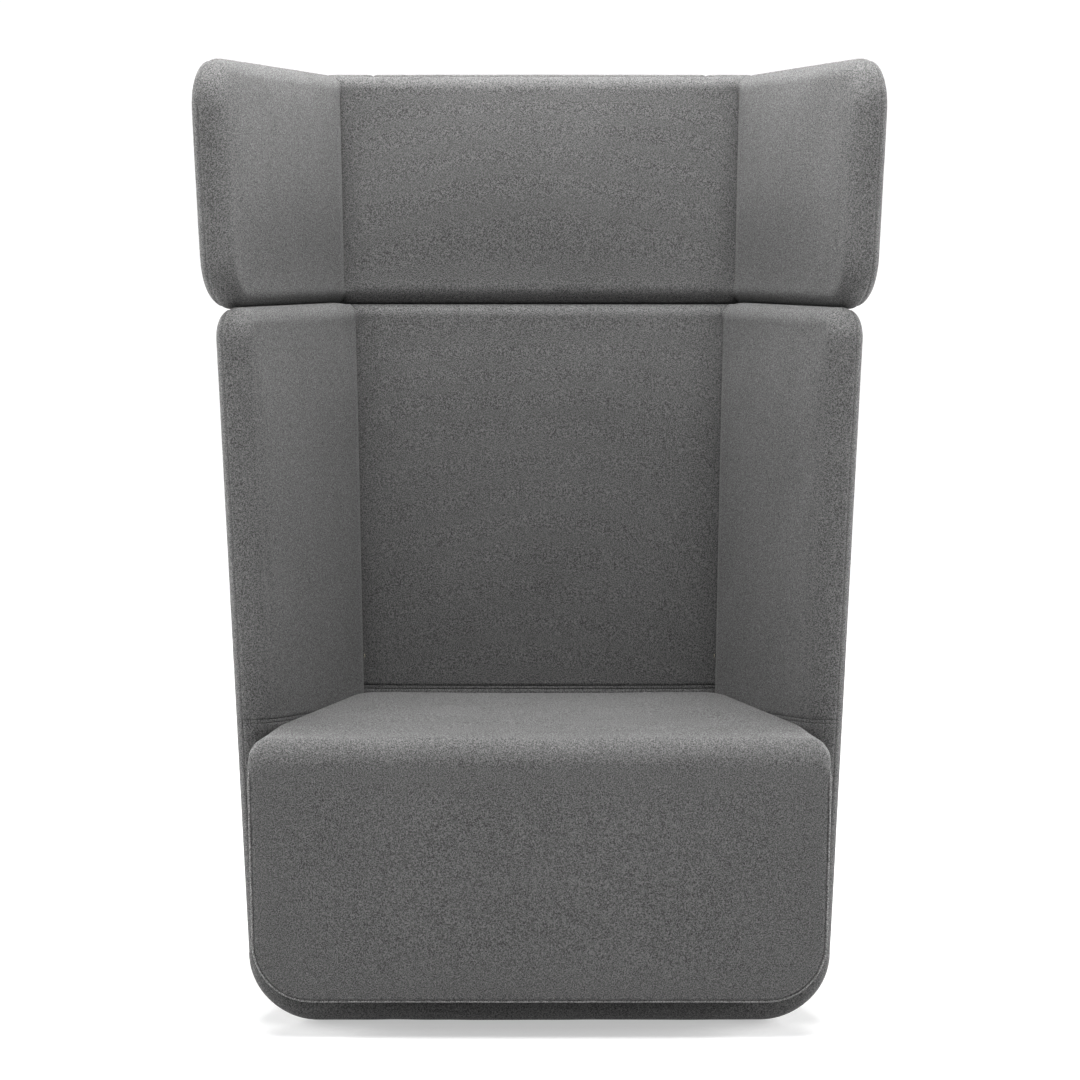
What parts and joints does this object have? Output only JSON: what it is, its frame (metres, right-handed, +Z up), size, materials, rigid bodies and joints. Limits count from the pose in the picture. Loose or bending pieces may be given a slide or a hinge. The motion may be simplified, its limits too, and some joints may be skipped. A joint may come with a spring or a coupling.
{
  "type": "acoustic high back lounge chair",
  "caption": "Lounge chair with a padded fabric basket body, a separate padded hood round the sitter's head and a deep seat block that comes out in front.",
  "frame": {"origin": "on the floor under the middle of the chair's bounding box", "axes": "+Z up, +X to the sitter's left, -Y the way the sitter faces"},
  "size_m": [0.9232, 0.7362, 1.2999],
  "materials": {
    "fabric": "grey melange wool",
    "foam": "cut foam",
    "plywood": "raw plywood",
    "beech": "raw beech",
    "steel": "zinc plated",
    "plastic": "matt black",
    "cloth": "black non-woven"
  },
  "bodies": {
    "root": {"left_inner_cover": "fabric", "right_inner_cover": "fabric", "left_outer_cover": "fabric", "right_outer_cover": "fabric", "left_side_board": "plywood", "right_side_board": "plywood", "left_corner_bend": "plywood", "right_corner_bend": "plywood", "left_rear_post": "beech", "right_rear_post": "beech", "left_wing_foam": "foam", "right_wing_foam": "foam", "left_base_packer": "beech", "right_base_packer": "beech", "left_front_glide": "plastic", "right_front_glide": "plastic", "left_back_glide": "plastic", "right_back_glide": "plastic", "left_hood_inner_cover": "fabric", "right_hood_inner_cover": "fabric", "left_hood_outer_cover": "fabric", "right_hood_outer_cover": "fabric", "left_hood_side_board": "plywood", "right_hood_side_board": "plywood", "left_hood_post": "beech", "right_hood_post": "beech", "left_hood_side_foam": "foam", "right_hood_side_foam": "foam", "left_wing_bracket": "steel", "right_wing_bracket": "steel", "left_back_bracket": "steel", "right_back_bracket": "steel", "left_seat_side_rail": "beech", "right_seat_side_rail": "beech", "left_front_bolt": "steel", "right_front_bolt": "steel", "left_back_bolt": "steel", "right_back_bolt": "steel", "left_seat_side_cover": "fabric", "right_seat_side_cover": "fabric", "back_inner_cover": "fabric", "back_outer_cover": "fabric", "back_board": "plywood", "back_foam": "foam", "base_cover": "fabric", "base_cloth": "cloth", "base_board": "plywood", "base_foam": "foam", "hood_back_inner_cover": "fabric", "hood_back_outer_cover": "fabric", "hood_back_board": "plywood", "hood_back_foam": "foam", "seat_front_rail": "beech", "seat_back_rail": "beech", "seat_spring_1": "steel", "seat_spring_2": "steel", "seat_spring_3": "steel", "seat_foam": "foam", "seat_top_cover": "fabric", "seat_under_cover": "fabric"}
  },
  "joints": []
}
